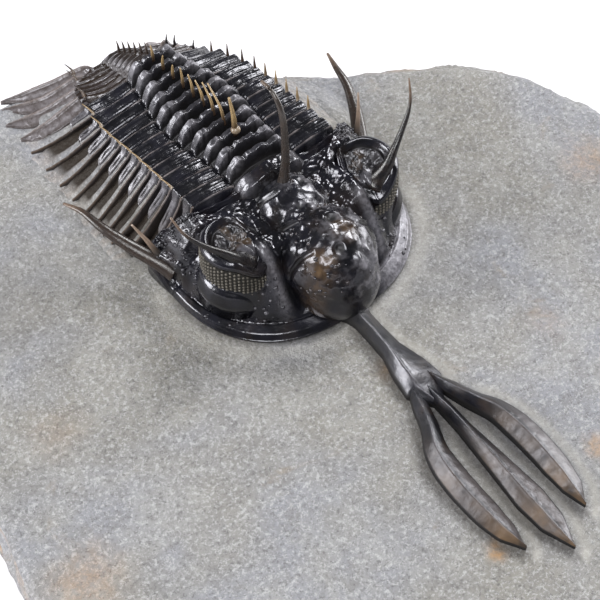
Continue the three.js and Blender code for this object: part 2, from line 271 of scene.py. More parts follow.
def spine_shell(name, dark, light):
    """Spine shell: dark at the foot and light towards the tip, by the piece's own marks."""
    paint = Paint(name)
    pale, tan, _ = paint.tone()
    colour = paint.blend(tan, dark, light)
    # Pale marks lighten the spine; on the knobs at the feet of the bend spines they are a painted
    # highlight.
    colour = paint.blend(pale * 0.7, colour, (0.62, 0.56, 0.5))
    streak = paint.noise(0.8, 4, 0.7).between(0.4, 0.75)
    colour = paint.blend(streak * 0.2, colour, (0.08, 0.045, 0.025))
    normal = paint.bump(paint.noise(0.4, 4, 0.7), 0.06, 0.6)
    return paint.finish(colour, paint.noise(0.9, 3) * 0.2 + 0.16, normal, Specular_IOR_Level=0.6)


def eye_glass():
    """The olive-grey lens bed of the eyes."""
    paint = Paint("eye_lens")
    tint = paint.noise(1.2, 3).between(0.3, 0.7)
    colour = paint.blend(tint, (0.075, 0.067, 0.053), (0.125, 0.112, 0.094))
    _, _, deep = paint.tone()
    colour = paint.blend(deep, colour, (0.008, 0.007, 0.005))
    normal = paint.bump(paint.noise(0.3, 2), 0.03, 0.4)
    return paint.finish(colour, paint.noise(0.6, 2) * 0.2 + 0.3, normal, Specular_IOR_Level=0.5)


# Building pieces

def finished(bm, name, material, nodes=()):
    """A piece in the frame, from a form in millimetres above the slab's upper face."""
    bmesh.ops.remove_doubles(bm, verts=bm.verts, dist=1e-4)
    bmesh.ops.recalc_face_normals(bm, faces=bm.faces)
    bmesh.ops.translate(bm, verts=bm.verts, vec=(0, 0, DECK))
    bmesh.ops.scale(bm, verts=bm.verts, vec=(MM, MM, MM))
    mesh = bpy.data.meshes.new(name)
    bm.to_mesh(mesh)
    bm.free()
    mesh.shade_smooth()
    mesh.materials.append(material)
    piece = bpy.data.objects.new(name, mesh)
    bpy.context.scene.collection.objects.link(piece)
    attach(piece, "root")
    if nodes:
        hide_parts(*nodes)


def new_form():
    bm = bmesh.new()
    bm.verts.layers.float_color.new("tone")
    return bm


def marked(bm, vert, pale=0.0, tan=0.0, deep=0.0):
    vert[bm.verts.layers.float_color["tone"]] = (clamp(pale), clamp(tan), clamp(deep), 1)


def relief(bm, columns, rows, surface, floor=LIFT):
    """A sheet laid over surface(u, v), which gives a point and its marks, closed down to floor."""
    sheet = bmesh.ops.create_grid(bm, x_segments=columns, y_segments=rows, size=0.5)["verts"]
    rim = {e for v in sheet for e in v.link_edges if e.is_boundary}
    for vert in sheet:
        point, marks = surface(vert.co.x + 0.5, vert.co.y + 0.5)
        vert.co = point
        marked(bm, vert, *marks)
    wall = bmesh.ops.extrude_edge_only(bm, edges=list(rim))["geom"]
    foot = [g for g in wall if isinstance(g, bmesh.types.BMVert)]
    for vert in foot:
        vert.co.z = floor
    base = [g for g in wall if isinstance(g, bmesh.types.BMEdge) and g.is_boundary]
    bmesh.ops.holes_fill(bm, edges=base, sides=0)


def thorn(bm, points, radius, sides=10, steps=14, tip=0.12, flat=1.0, marks=None, flare=0.0):
    """A tapering spine along the smooth line through points, rolled up from a grid."""
    skin = bmesh.ops.create_grid(bm, x_segments=sides, y_segments=steps + 2, size=0.5)["verts"]
    start = curve_direction(points, 0.0)
    side = Vector((1, 0, 0)).cross(start).normalized()
    for vert in skin:
        angle = 2 * math.pi * vert.co.x
        row = round((vert.co.y + 0.5) * (steps + 2))
        t = clamp((row - 1) / steps)
        girth = radius * (mix(1, tip, t ** 0.9) + flare * math.exp(-9 * t))
        if row in (0, steps + 2):
            girth = 0
        forward = curve_direction(points, t)
        across = side.cross(forward).normalized()
        over = forward.cross(across)
        vert.co = (curve_point(points, t) + across * math.cos(angle) * girth
                   + over * math.sin(angle) * girth * flat)
        marked(bm, vert, *(marks(t) if marks else (0, t, 0)))


def pimple(bm, place, radius, flatten=0.6, marks=(0, 0, 0), detail=1):
    """A small round tubercle standing on the shell at place."""
    made = bmesh.ops.create_icosphere(
        bm, subdivisions=detail, radius=radius,
        matrix=Matrix.Translation(place) @ Matrix.Diagonal((1, 1, flatten, 1)))["verts"]
    for vert in made:
        marked(bm, vert, *marks)


# The body's arch

def ridge_y(k):
    return FIRST_RIDGE_Y + PITCH * (k - 1)


def axis_top(k):
    return 11.2 - 0.27 * (k - 1)


def axis_half(k):
    return 3.8 + 0.95 * bell(k, 6.3, 4.2) - 0.2 * max(0, k - 8)


def fulcrum_x(k):
    """The bend of pleura k, which draws in towards the tail."""
    return FULCRUM_X - 0.12 * max(0, k - 8) ** 2


def fulcrum_y(k, hand):
    return ridge_y(k) + 0.09 * max(0, k - 7) ** 2 - hand * 0.1 * max(0, k - 9.5) ** 2


def fulcrum_z(k, hand):
    return 9.3 - 0.4 * (k - 1) - 0.075 * max(0, k - 6) ** 2 - hand * 0.08 * max(0, k - 9.5) ** 2


def blade_tip_x(k, hand):
    reach = BLADE_TIP_X - 4 * max(0, 1 - (k - 1) / 3.2) ** 1.3
    buried = max(fulcrum_x(k) + 0.6, BURIED_TIP_X - 0.6 * max(0, k - 5))
    return min(reach, buried) if hand > 0 else reach


def crest_y(k, a, hand):
    """Where the crest of pleura k runs, at the distance a from the body's middle line."""
    half, bend, root = axis_half(k), fulcrum_x(k), fulcrum_y(k, hand)
    if a < bend:
        return mix(ridge_y(k), root, clamp((a - half) / (bend - half)) ** 2)
    out = clamp((a - bend) / (BLADE_TIP_X - bend))
    end = ridge_y(k) + 0.2 + 3 * ((k - 6.3) / 4.7) ** 2
    return mix(root, max(end, root), out ** 2) + 0.3 * clamp((a - bend) / 2.5)


def crest_z(k, a, hand, tip):
    bend = fulcrum_x(k)
    u = clamp((a - bend) / (tip - bend))
    return 0.7 + (fulcrum_z(k, hand) - 0.7) * (1 - u) ** 1.2


def ring_height(k, a, hand, v):
    """The axial ring: a rounded band behind a deep half-ring, with a swollen lobe at each end."""
    half = axis_half(k)
    t = a / half
    furrow = axis_top(k) - RING_RISE
    crown = furrow + RING_RISE * (1 - min(t, 1) ** 2.6) ** 0.5
    start = 0.44 - 0.1 * smooth(0.3, 0.8, t)
    band = smooth(start, start + 0.16, v) * smooth(1.0, 0.84, v)
    wave = rough(hand * a * 1.3, v * 1.5, k * 3.1, 0.9)
    lobe = bell(t, 0.74, 0.34)
    neck = bell(t, 0.42 + 0.05 * wave, 0.16)
    z = crown - 1.9 * (1 - band) * (1 - 0.5 * t ** 6)
    return z + band * (0.45 * lobe - 0.35 * neck + 0.22 * wave), band, lobe, wave


def field_height(k, a, hand, v):
    """The flat of the pleura, from the axial furrow to the bend."""
    half = axis_half(k)
    t = (a - half) / (fulcrum_x(k) - half)
    furrow = axis_top(k) - RING_RISE
    base = mix(furrow, fulcrum_z(k, hand), t) + 0.25 * math.sin(math.pi * t)
    wave = rough(hand * a * 0.7, v * 1.2, k * 5.3, 1.0)
    ridge = bell(v, 0.1, 0.08)
    fine = 0.5 + 0.5 * math.cos(2 * math.pi * (3.6 * v + 0.3 * wave))
    dip = 0.3 * bell(t, 0.0, 0.1)
    groove = bell(v, 0.26, 0.1)
    swell = bell(v, 0.6, 0.45)
    z = (base - dip + (0.14 + 0.2 * smooth(0.45, 0.0, t)) * ridge - 0.12 * groove + 0.12 * swell
         + 0.05 * fine + 0.06 * wave - 0.22 * smooth(0.86, 1, v))
    return z, ridge, t, wave, fine


def blade_height(k, a, hand, y, tip):
    """The pleura outside the bend: a sharp crest in front, a pale slit lobe behind it."""
    w = a - fulcrum_x(k)
    back = y - crest_y(k, a, hand)
    top = crest_z(k, a, hand, tip)
    crest = bell(back, 0.08, 0.18)
    groove = bell(back, 0.34, 0.16)
    on_lobe = smooth(LOBE_LENGTH, LOBE_LENGTH - 0.35, w)
    wave = rough(a * 1.5, y * 1.5, k, 1.2)
    dome = on_lobe * smooth(0.3, 0.6, back) * smooth(1.5, 1.15, back)
    slit = on_lobe * bell(back, 0.9 + 0.1 * wave, 0.12) * bell(w, 1.5 + 0.4 * wave, 0.8)
    z = top - 0.3 + 0.3 * crest - 0.14 * groove + 0.3 * dome - 0.3 * slit + 0.05 * wave
    z -= 0.6 * smooth(1.25, 1.6, back)
    return z, crest, dome, slit


def segment_surface(k):
    """The upper surface of segment k over u, across, and v, front to back."""
    def surface(u, v):
        hand = -1 if u < 0.5 else 1
        s = abs(u - 0.5) * 2
        half, bend = axis_half(k), fulcrum_x(k)
        tip = blade_tip_x(k, hand)
        a = along([0, half * 0.62, half, 0.5 * (half + bend), bend,
                   bend + 0.22 * (tip - bend), bend + 0.45 * (tip - bend),
                   bend + 0.7 * (tip - bend), tip], s)
        y_field = crest_y(k, a, hand) - 0.22 + (PITCH + 0.1) * v
        if a <= half:
            z, band, lobe, wave = ring_height(k, a, hand, v)
            # Painted sheen on the ring's lobes, and painted shade in the deep gap in front of the
            # band.
            pale = band * (0.75 * lobe * smooth(-0.6, 0.1, wave) + 0.12)
            return (hand * a, y_field, z), (pale, 0, 0.9 * (1 - band))
        z_field, ridge, t, wave, fine = field_height(k, min(a, bend), hand, v)
        inner = smooth(0.4, 0.05, t)
        # The pale line along each pleural ridge is partly paler shell and partly a painted
        # highlight.
        line = ridge * clamp(0.35 + 0.45 * inner + 0.9 * wave)
        marks = (line * 0.9 + 0.06 * fine * smooth(0.0, 0.5, wave), line * 0.25, 0)
        if a <= bend:
            return (hand * a, y_field, z_field), marks
        w = a - bend
        lobe_end = clamp((w - 0.9) / (LOBE_LENGTH - 0.9))
        length = mix(0.15, 1.5, (1 - lobe_end ** 4) ** 0.5) * mix(1, 0.8, clamp(w / 6))
        y_blade = crest_y(k, a, hand) - 0.08 + length * v
        z_blade, crest, dome, slit = blade_height(k, a, hand, y_blade, tip)
        turn = smooth(0.0, 0.5, w)
        far = clamp(w / (tip - bend))
        # Pale: painted highlight along the crest and painted sheen on the lobe. Deep: painted shade
        # in the slit and on the front and back walls.
        pale = 0.75 * crest + 0.5 * dome - slit
        wall = 0.35 * smooth(0.06, 0.0, v) + 0.7 * smooth(0.94, 1, v)
        return ((hand * a, mix(y_field, y_blade, turn), mix(z_field, z_blade, turn)),
                (pale * turn, 0.15 * far + crest * (0.25 + 0.4 * far), 0.8 * slit + turn * wall))
    return surface


def segment(k, shell):
    bm = new_form()
    relief(bm, 190, 26, segment_surface(k))
    finished(bm, f"segment_{k:02d}", shell, [f"thorax_segment_{k:02d}"])


def axial_tip(k):
    """Where the spine on the middle of segment k ends: how far behind its foot, and how high."""
    if k == 3:
        return 0.9, 14.96
    t = (k - 4) / 7
    return (along([2.9, 2, 1.4, 0.8, 0.3, -0.1, -0.2, 0.3], t),
            along([13.7, 12.9, 12, 11.7, 11.4, 10.5, 10.4, 9.9], t))


def thorax_spines(material):
    """The spines: a row along each bend and a row down the middle."""
    bm = new_form()
    for k in range(3, SEGMENTS + 1):
        for hand in (-1, 1):
            x, y, z = fulcrum_x(k), fulcrum_y(k, hand), fulcrum_z(k, hand)
            back, rise = (1.75, 0.35) if hand < 0 else (0.6, 1.5)
            dark = smooth(6, 8, k) if hand > 0 else 0
            # The pale mark at the foot of each bend spine is a painted highlight on its knob.
            thorn(bm, [(hand * (x - 0.05), y - 0.15, z - 0.05),
                       (hand * (x + 0.1), y + 0.3 * back, z + 0.1 + 0.5 * rise),
                       (hand * (x + 0.35), y + back, z + rise)],
                  0.2 if hand < 0 else 0.24, 8, 8, 0.2,
                  marks=lambda t, light=1 - dark: (0.8 * bell(t, 0, 0.35) * light,
                                                   (0.3 + 0.5 * t) * light, 0))
        foot, top = ridge_y(k) + 1.0, axis_top(k)
        lean, height = axial_tip(k)
        thorn(bm, [(0, foot, top - 0.8), (0, foot + 0.25 * lean, mix(top, height, 0.45)),
                   (0, foot + lean, height)],
              0.42 if k == 3 else 0.24, 10, 12, 0.3,
              marks=lambda t: (0, smooth(0.1, 0.6, t), 0))
        if k == 3:
            pimple(bm, (0, foot - 0.1, top + 0.05), 0.55, 0.8, (0.25, 0.4, 0), 3)
    finished(bm, "thorax_spines", material)


# The rock between the blades and against the buried side

def rock_fill(hand, stone):
    """The stone left between the blades: behind each crest it slopes down to the next wall."""
    bm = new_form()
    first, last = (14.5, 44.2) if hand < 0 else (13.0, 29.0)
    outer = 17.6 if hand < 0 else 15.0

    def surface(u, v):
        y = mix(first, last, v)
        k = 1
        inner = 0.5
        a = mix(fulcrum_x(clamp((y - FIRST_RIDGE_Y) / PITCH + 1, 1, 14)) + inner, outer, u)
        while k < SEGMENTS + 4 and crest_y(k + 1, a, hand) < y:
            k += 1
        gap = crest_y(k + 1, a, hand) - crest_y(k, a, hand)
        p = clamp((y - crest_y(k, a, hand)) / max(gap, 0.4))
        w = a - fulcrum_x(k)
        if hand < 0:
            tip = blade_tip_x(k, hand)
            top = crest_z(k, a, hand, tip)
            hollow = smooth(0.25, 0.55, p) * smooth(6.3, 4.6, w)
            depth = mix(1.5, 0.1, clamp(w / 6.2))
            z = top - 0.15 - 0.35 * depth * p - depth * hollow
            z = mix(z, 0.0, smooth(4.6, 6.6, w)) - 0.7 * smooth(6.4, 8.2, w)
            shade = (0.97 * hollow + 0.2 * smooth(6.5, 4.5, w)
                     + smooth(19.0, 16.8, y) * smooth(5.0, 3.0, w))
            pale = 0
        else:
            z = mix(fulcrum_z(k, hand) - 0.8, 2.8, clamp((w - 0.4) / 4) ** 0.8)
            z += 0.35 * rough(a, y, 1, 1.6) - 3.6 * smooth(13.2, outer, a)
            shade = 0.5 * smooth(0.1, 0.5, rough(a, y, 4, 1.4))
            pale = 0.25
        fade = smooth(first, first + 3, y) * smooth(last, last - 4, y)
        fade *= max(smooth(16.5, 19.0, y), smooth(5.5, 4.0, w))
        z = mix(-0.7, z, fade) + 0.08 * rough(a * 2, y * 2, 7, 1.2)
        return (hand * a, y, max(z, -0.7)), (pale, 0.12 * smooth(0.15, 0.5, p), shade)
    relief(bm, 70, 380, surface, -0.9)
    name = "rock_between_blades" if hand < 0 else "rock_against_left_side"
    finished(bm, name, stone)


# The head

def head_rear():
    return [(14.4, 13.4), (14.2, 15.0), (12.9, 15.0), (11.7, 13.6), (10.4, 12.7),
            (8.6, HEAD_BACK_Y), (5.5, 12.2), (3.2, HEAD_BACK_Y), (0, HEAD_BACK_Y)]


def head_outline(turn):
    """A point of the head's margin, for a turn from 0 to 1 that starts at the right cheek."""
    if turn < HEAD_FRONT_TURN:
        angle = math.pi * turn / HEAD_FRONT_TURN
        c = math.cos(angle)
        x = -HEAD_HALF_WIDTH * math.copysign(abs(c) ** 0.84, c)
        return x, HEAD_WIDEST_Y - (HEAD_WIDEST_Y - HEAD_FRONT_Y) * math.sin(angle) ** 0.84
    t = (turn - HEAD_FRONT_TURN) / (1 - HEAD_FRONT_TURN)
    rear = [(HEAD_HALF_WIDTH, HEAD_WIDEST_Y)] + head_rear()
    hand = 1 if t < 0.5 else -1
    point = curve_point([(x, y, 0) for x, y in rear], 1 - abs(t * 2 - 1))
    return hand * point.x, point.y


def head_height(x, y, r, reach):
    """Height of the head shield at x, y, the fraction r out along a line of the length reach."""
    a = abs(x)
    front = smooth(9, -1, y)
    width = mix(1.1, 2.0, front)
    out = (1 - r) * reach
    eye = math.hypot(a - EYE_X, y - EYE_Y) - EYE_RADIUS
    inside = max(out - width, 0)
    q = clamp(inside / (inside + max(eye, 0) + 1e-3))
    cheek = mix(1.0, 5.9, q ** 0.85)
    fixed = mix(1.6, 8.2, smooth(-0.8, 4.8, y)) + 0.9 * bell(a, 6.35, 1.5) * smooth(-0.6, 1.2, y)
    z = mix(cheek, fixed, smooth(8.0, 6.9, a))
    rear = 8.9 - 5.9 * clamp((a - 10.0) / 4.2) ** 1.1
    z = mix(z, rear, smooth(8.9, 11.0, y))
    rear_edge = smooth(10.9, 11.6, y) * smooth(14.4, 12.5, a)
    z += rear_edge * (0.35 * bell(out, 0.55, 0.5) - 0.45 * bell(out, 1.5, 0.55))
    rim = clamp(out / width)
    border = 0.5 + 0.45 * smooth(0, 0.3, rim) + 0.6 * rim - 0.35 * smooth(0.8, 1, rim)
    on_border = smooth(width + 0.1, width - 0.1, out)
    on_border *= max(smooth(10.8, 9.8, y), smooth(12.6, 13.2, a) * smooth(13.4, 11.2, y))
    return mix(z, border, on_border), on_border, eye


def head_shield(shell):
    bm = new_form()

    def surface(u, v):
        r = 1 - v ** 1.25
        ex, ey = head_outline(u)
        x, y = ex * r, mix(HEAD_MIDDLE_Y, ey, r)
        reach = math.hypot(ex, ey - HEAD_MIDDLE_Y)
        z, on_border, _ = head_height(x, y, r, reach)
        a = abs(x)
        lumps = rough(x, y, 3, 1.5)
        strip = bell(a, 6.35, 1.6) * smooth(-1.0, 0.6, y) * smooth(6.5, 4.5, y)
        z += (0.2 * (1 - strip) * (1 - on_border) + 0.02 * on_border) * lumps
        z += 0.1 * rough(x, y, 8, 0.5, 2) * (1 - strip) * (1 - on_border)
        # Painted highlights: sheen on the border's +X front part, along the strips beside the
        # glabella, and in a patch in front of the +X eye.
        pale = on_border * smooth(2, 8, x) * smooth(9, 3, y) + 0.6 * strip ** 3
        pale += 0.55 * bell(math.hypot(x - 10, y - 1.6), 0, 1.9) * (1 - on_border)
        return (x, y, max(z, LIFT + 0.1)), (pale, 0, 0)
    relief(bm, 360, 90, surface)
    finished(bm, "head_shield", shell, ["cephalon"])


# The three swellings of the glabella: middle and half widths along x, y and z
GLABELLA_SWELLINGS = [
    ((0, 1.9, 5.7), (5.2, 5.7, 5.2)), ((0, 7.6, 6.4), (4.1, 4.6, 4.5)),
    ((0, 1.0, 3.5), (4.8, 5.5, 5.0)),
]


def glabella_reach(direction):
    """How far the skin of the fused swellings is from the glabella's centre."""
    reaches = []
    for middle, radii in GLABELLA_SWELLINGS:
        o = [(GLABELLA_CENTRE[i] - middle[i]) / radii[i] for i in range(3)]
        d = [direction[i] / radii[i] for i in range(3)]
        a = sum(c * c for c in d)
        b = sum(o[i] * d[i] for i in range(3))
        c = sum(e * e for e in o) - 1
        reaches.append((-b + math.sqrt(max(b * b - a * c, 0))) / a)
    low, high = sorted(reaches)[1:]
    return high + 0.2 * math.exp(-(high - low) * 2)


# The side furrows: outer end, inner end and depth
GLABELLA_FURROWS = [
    ((4.6, 6.6), (1.9, 4.7), 0.55), ((5.4, 1.6), (3.0, 0.6), 0.4), ((3.6, 9.4), (1.4, 8.4), 0.45),
]


def furrow_depth(x, y):
    """Depth of the slanting side furrows of the glabella, which get shallower inwards."""
    depth = 0.0
    a = abs(x)
    for (x0, y0), (x1, y1), strong in GLABELLA_FURROWS:
        dx, dy = x1 - x0, y1 - y0
        t = clamp(((a - x0) * dx + (y - y0) * dy) / (dx * dx + dy * dy))
        gap = math.hypot(a - x0 - t * dx, y - y0 - t * dy)
        depth = max(depth, strong * bell(gap, 0, 0.42) * (1 - 0.5 * t))
    return depth


# Pits (below 0) and swellings of the glabella: x, y, radius and depth or height
GLABELLA_MARKS = [
    (0.9, 2.4, 1.0, -0.6), (-0.6, -1.0, 0.9, -0.5), (2.2, 0.9, 0.7, 0.3), (1.2, -0.9, 0.9, 0.25),
    (-2.9, 2.4, 1.0, 0.4), (-3.5, -1.2, 1.5, 0.35), (0.7, -2.3, 0.6, 0.25), (-1.7, 3.6, 0.9, 0.25),
    (3.4, 3.0, 1.0, 0.3), (2.4, -2.2, 0.8, 0.25), (-0.7, 5.8, 0.8, -0.3), (2.2, 5.4, 0.9, 0.3),
    (-2.2, -2.4, 0.8, 0.2),
]


def glabella_relief(point):
    """What the furrows, pits, swellings and wrinkles add to the glabella's height at point."""
    x, y, z = point
    high = smooth(4.5, 6.5, z)
    depth = furrow_depth(x, y) * high
    for mx, my, size, amount in GLABELLA_MARKS:
        depth -= amount * bell(math.hypot(x - mx, y - my), 0, size) * high
    wrinkle = (0.35 - abs(rough(x, y * 1.3, z, 1.7, 2))) * 0.09
    lump = rough(x, y, z, 2.6, 2) * 0.3 + rough(x, y, z, 0.6, 2) * 0.02
    return (lump + wrinkle) * smooth(2.0, 6.5, z) - depth, depth


def glabella(shell):
    bm = new_form()
    ball = bmesh.ops.create_icosphere(bm, subdivisions=7, radius=1)["verts"]
    for vert in ball:
        d = vert.co.normalized()
        point = GLABELLA_CENTRE + d * glabella_reach(d)
        rise, depth = glabella_relief(point)
        vert.co = point + d * rise
        x, y, z = point
        brown = (0.7 * bell(math.hypot(x + 3.0, y + 0.9), 0, 2.4)
                 + 0.5 * bell(math.hypot(x - 1.2, y - 0.6), 0, 2.2))
        # Painted sheen: patches on the upper glabella towards +X, and a broad patch low at the
        # front on +X.
        sheen = 0.55 * smooth(-0.2, 0.5, rough(x, y, z, 1.3)) * smooth(-2.5, 1.5, x)
        sheen *= smooth(2.0, 6.0, z)
        sheen += 0.4 * bell(math.hypot(x - 2.4, y + 2.9), 0, 2.6)
        # The furrows and pits are darkened with painted shade.
        marked(bm, vert, sheen, brown * (0.5 + 0.5 * rough(x, y, z, 0.9)), smooth(0.1, 0.4, depth))
    finished(bm, "glabella", shell)


def glabella_tubercles(shell):
    """Small bumps all over the glabella, the first thirty close together low on its right."""
    bm = new_form()
    chance = random.Random(11)
    for number in range(110):
        if number < 30:
            d = (RIGHT_CHEEK_OF_NOSE - GLABELLA_CENTRE).normalized()
            d = (d + Vector([chance.uniform(-0.35, 0.35) for _ in range(3)])).normalized()
        else:
            angle, lift = chance.uniform(0, 2 * math.pi), chance.uniform(0.1, 1)
            flat = math.sqrt(1 - lift * lift)
            d = Vector((flat * math.cos(angle), flat * math.sin(angle), lift))
        point = GLABELLA_CENTRE + d * glabella_reach(d)
        rise, depth = glabella_relief(point)
        if depth > 0.15:
            continue
        size = chance.choice((0.12, 0.16, 0.22, 0.3))
        # Each tubercle carries a faint painted sheen.
        pimple(bm, point + d * (rise - 0.3 * size), size, 0.8, (0.1, 0.1 * chance.random(), 0))
    finished(bm, "glabella_tubercles", shell)


def occipital_ring(shell):
    bm = new_form()

    def surface(u, v):
        s = u * 2 - 1
        x = 4.4 * s
        y = mix(9.8, 12.9, v) + 0.5 * s * s
        arch = 11.0 - 2.6 * abs(s) ** 2.6
        band = smooth(0.05, 0.35, v) * smooth(1.0, 0.8, v)
        z = arch - 1.5 * (1 - band) + 0.25 * bell(abs(s), 0.75, 0.25) + 0.12 * rough(x, y, 5, 0.9)
        # Painted sheen on the ring's side lobes and painted shade in the furrows in front and
        # behind.
        return (x, y, z), (0.35 * band * bell(abs(s), 0.75, 0.3), 0, 0.7 * (1 - band))
    relief(bm, 70, 34, surface, 5)
    finished(bm, "occipital_ring", shell)


def lens_band(angle):
    """Lowest and highest edge of the lens band, at an angle from straight outwards."""
    front = smooth(-0.8, -1.75, angle)
    inner = smooth(2.0, math.pi, abs(angle))
    low = mix(6.1, 4.4, front)
    high = mix(mix(9.5, 7.2, front), 8.3, inner)
    return low, high


def eye_surface(angle, t, hand):
    """A point of the eye's outside, from its foot over the rim to the middle of its top."""
    low, high = lens_band(angle)
    rim = smooth(-2.7, -2.0, angle) * smooth(1.7, 0.8, angle)
    crown = mix(8.9, 9.6, rim)
    profile = [(4.5, low - 2.0), (4.1, low - 0.9), (3.6, low - 0.15), (3.7, mix(low, high, 0.5)),
               (3.6, high - 0.1), (mix(3.4, 3.85, rim), high + 0.15),
               (mix(3.3, 3.75, rim), high + 0.3 + 0.35 * rim),
               (3.2, high + 0.5 + 0.5 * rim), (2.75, mix(high, crown, 0.4) + 0.35),
               (2.5, mix(high, crown, 0.5) + 0.1 * (1 - rim)),
               (2.2, mix(high, crown, 0.65) + 0.35), (1.2, crown), (0, crown)]
    radius, z, _ = curve_point([(r, h, 0) for r, h in profile], t)
    radius = max(radius, 0)
    x, y = radius * math.cos(angle), radius * math.sin(angle)
    x *= mix(1, 0.74 if hand < 0 else 0.55, smooth(0, -1.5, x))
    top = smooth(2.9, 2.0, radius) * smooth(7.4, 8.2, z)
    plate = smooth(-0.75, -1.1, angle) * smooth(-3.0, -2.6, angle) * smooth(0.2, 1.0, radius)
    coarse = top * (1 - plate)
    z += coarse * (0.3 * rough(x, y, hand * 3, 1.3) + 0.08 * rough(x, y, hand, 0.45, 2)
                   - 0.5 * bell(math.hypot(x - 1.2, y + 0.2), 0, 1.3))
    # The groove inside the rim gets painted shade, and the coarse top is made darker and rougher.
    groove = bell(radius, 2.5, 0.28) * rim * (z > 7.3)
    tan = 0.5 * coarse * smooth(-0.2, 0.5, rough(x, y, 5 + hand, 1.6)) * smooth(1.5, 0.0, x)
    # Painted highlight on the smooth front plate; pale flecks over the coarse top.
    pale = 0.25 * coarse * smooth(0.1, 0.5, rough(x, y, 9 + hand, 0.9)) + 0.3 * plate * top
    return Vector((hand * (EYE_X + x), EYE_Y + y, z)), (pale, tan, max(groove, 0.5 * coarse))


def eyes(shell):
    bm = new_form()
    for hand in (-1, 1):
        def surface(u, v, hand=hand):
            return eye_surface(math.pi * (2 * u - 1), v, hand)
        relief(bm, 150, 120, surface, 2.0)
    finished(bm, "eyes", shell)


def eye_lenses(lens):
    """Columns of round lenses, set in quincunx on each eye's bed."""
    bm = new_form()
    first, last, columns, rows = -1.8, 1.3, 28, 6
    for hand in (-1, 1):
        def bed(u, v, hand=hand):
            angle = mix(first - 0.04, last + 0.04, u)
            low, high = lens_band(angle)
            r = EYE_RADIUS + 0.05 + 0.1 * math.sin(math.pi * v)
            return (hand * (EYE_X + r * math.cos(angle)), EYE_Y + r * math.sin(angle),
                    mix(low - 0.05, high - 0.1, v))
        made = bmesh.ops.create_grid(bm, x_segments=80, y_segments=8, size=0.5)["verts"]
        for vert in made:
            vert.co = bed(vert.co.x + 0.5, vert.co.y + 0.5)
            marked(bm, vert, 0, 0, 1)
        for i in range(columns):
            for j in range(rows):
                v = (j + 0.3 + 0.5 * (i % 2)) / (rows + 0.2)
                pimple(bm, bed((i + 0.3) / (columns - 0.4), v), 0.17, 1.0)
    finished(bm, "eye_lenses", lens)


def head_spines(material):
    """The horns over the eyes, the spine of the occipital ring and the cheek's spines."""
    bm = new_form()
    thorn(bm, [(0, 9.6, 9), (0, 9.05, 14), (0, 9.25, 19.3), (0, 9.9, 21.7), (0, 11.2, 22.9),
               (0, 12.9, 22.9)], 0.52, 16, 40, 0.32,
          marks=lambda t: (0.04, 0.06 + 0.4 * smooth(0.8, 1, t), 0), flare=0.5)
    for hand in (-1, 1):
        def side(points, hand=hand):
            return [(hand * x, y, z) for x, y, z in points]
        thorn(bm, side([(8.9, 4.8, 8.2), (9.9, 4.5, 10.2), (11.0, 4.8, 11.7), (12.2, 5.3, 12.9),
                        (13.6, 5.9, 14.6), (14.5, 6.6, 16.0), (15.1, 7.7, 17.8)]),
              0.58, 16, 44, 0.16,
              marks=lambda t: (0, 0.7 * smooth(0.7, 1.0, t), 0), flare=2.0)
        thorn(bm, side([(12.8, 11.6, 2.4), (13.6, 13.2, 3.0), (15.4, 16.5, 4.1), (16.6, 19.5, 4.9),
                        (17.2, 22.5, 5.1), (18.0, 25.0, 4.6)]), 1.2, 16, 44, 0.14, 0.8,
              marks=lambda t: (0, 0.08 + 0.5 * smooth(0.7, 1.0, t), 0))
        thorn(bm, side([(13.2, 13.6, 3.2), (14.2, 14.6, 6.0), (15.1, 15.8, 8.2)]),
              0.4, 12, 20, 0.25, marks=lambda t: (0.25 * t, smooth(0.1, 0.6, t), 0), flare=0.8)
    finished(bm, "head_spines", material)


def cheek_tubercles(shell):
    """Small round bumps on the free cheeks, below and behind the eyes."""
    bm = new_form()
    chance = random.Random(5)
    for _ in range(3200):
        u, r = chance.uniform(0, 1), chance.uniform(0.5, 0.97)
        ex, ey = head_outline(u)
        x, y = ex * r, mix(HEAD_MIDDLE_Y, ey, r)
        reach = math.hypot(ex, ey - HEAD_MIDDLE_Y)
        z, on_border, eye = head_height(x, y, r, reach)
        side = smooth(1.0, 6.0, y)
        inner = mix(6.5, 9.0, smooth(8, 11, y))
        if eye < 0.5 or abs(x) < inner:
            continue
        if chance.random() > mix(0.25, 1, side) * (1 - 0.85 * on_border):
            continue
        # The tubercles carry a faint painted sheen.
        pimple(bm, (x, y, z), chance.choice((0.1, 0.14, 0.18, 0.24)), 0.9, (0.15, 0, 0))
    places = []
    for _ in range(2500):
        u, r = chance.uniform(0, HEAD_FRONT_TURN), chance.uniform(0.5, 0.95)
        ex, ey = head_outline(u)
        x, y = ex * r, mix(HEAD_MIDDLE_Y, ey, r)
        z, on_border, eye = head_height(x, y, r, math.hypot(ex, ey - HEAD_MIDDLE_Y))
        close = any(math.dist((x, y), place) < 0.75 for place in places)
        if 0.4 < eye < 1.5 and on_border < 0.05 and y < 6.0 and abs(x) > 6.5 and not close:
            places.append((x, y))
            # The row of larger bumps carries a painted highlight.
            pimple(bm, (x, y, z), chance.uniform(0.16, 0.3), 0.8, (0.5, 0, 0), 2)
    finished(bm, "cheek_tubercles", shell)


# The fork

